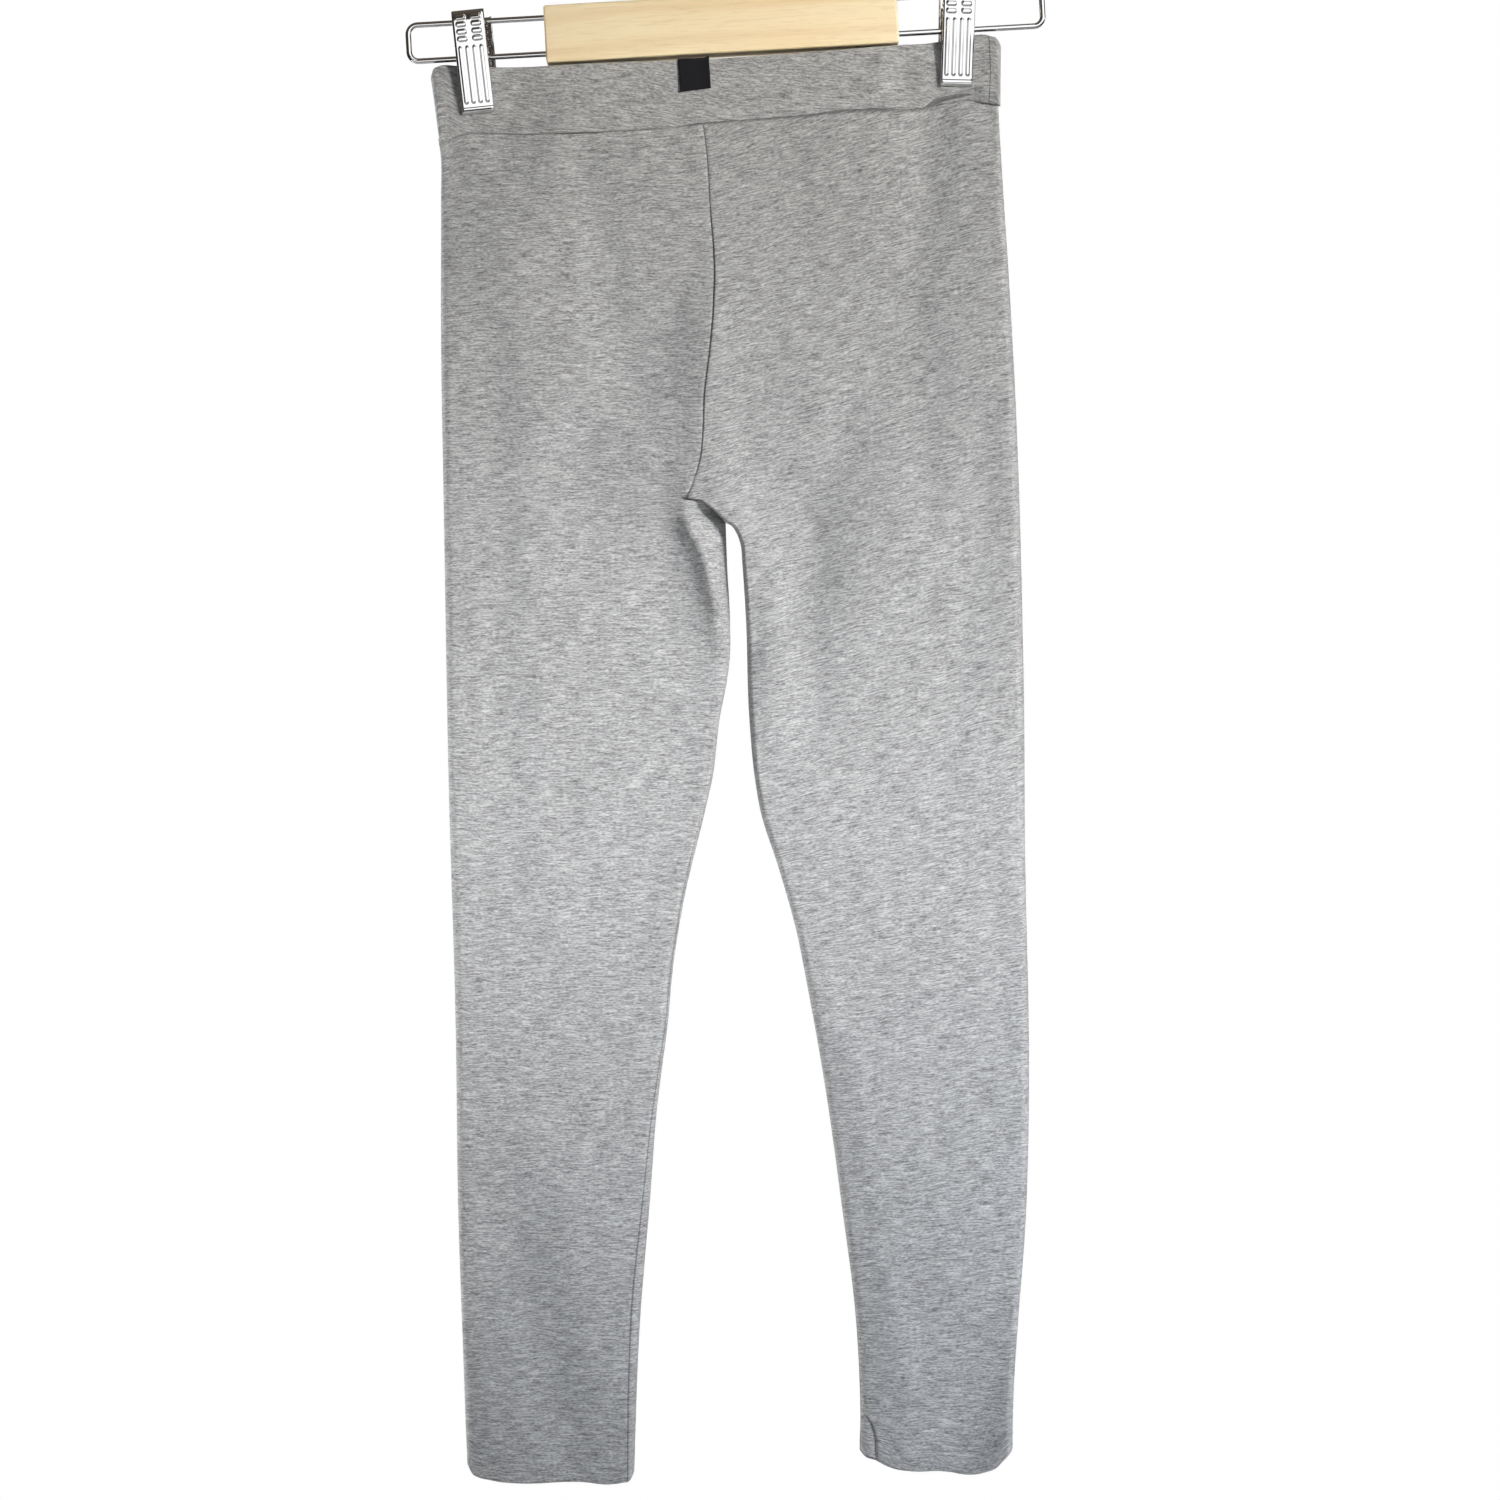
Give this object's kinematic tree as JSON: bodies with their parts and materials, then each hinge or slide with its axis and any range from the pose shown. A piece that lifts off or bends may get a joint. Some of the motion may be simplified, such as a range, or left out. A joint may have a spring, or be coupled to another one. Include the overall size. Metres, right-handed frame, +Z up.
{
  "type": "leggings on a clip hanger",
  "caption": "Long slim jersey leggings with a wide elastic waistband, hung flat from a hanger with a wooden block, wire loops and metal clips.",
  "frame": {"origin": "inner top of the hanger's hook, where it rests on a rail", "axes": "+Z up, -Y out of the garment's front, +X to the wearer's left; the legs hang straight down and the hanger is tilted by about 2 degrees"},
  "size_m": [0.34, 0.0268, 0.8526],
  "materials": {
    "jersey": "pale grey heather cotton jersey, matt",
    "label": "black woven tape, bare",
    "pine": "smooth pale pine, clear matt varnish",
    "chrome": "bright plated steel"
  },
  "bodies": {
    "root": {"right_leg": "jersey", "left_leg": "jersey", "waistband": "jersey", "label": "label", "hanger_block": "pine", "hanger_hook": "chrome", "right_wire_loop": "chrome", "left_wire_loop": "chrome", "right_clip_front_jaw": "chrome", "right_clip_back_jaw": "chrome", "right_clip_spring": "chrome", "left_clip_front_jaw": "chrome", "left_clip_back_jaw": "chrome", "left_clip_spring": "chrome"}
  },
  "joints": []
}
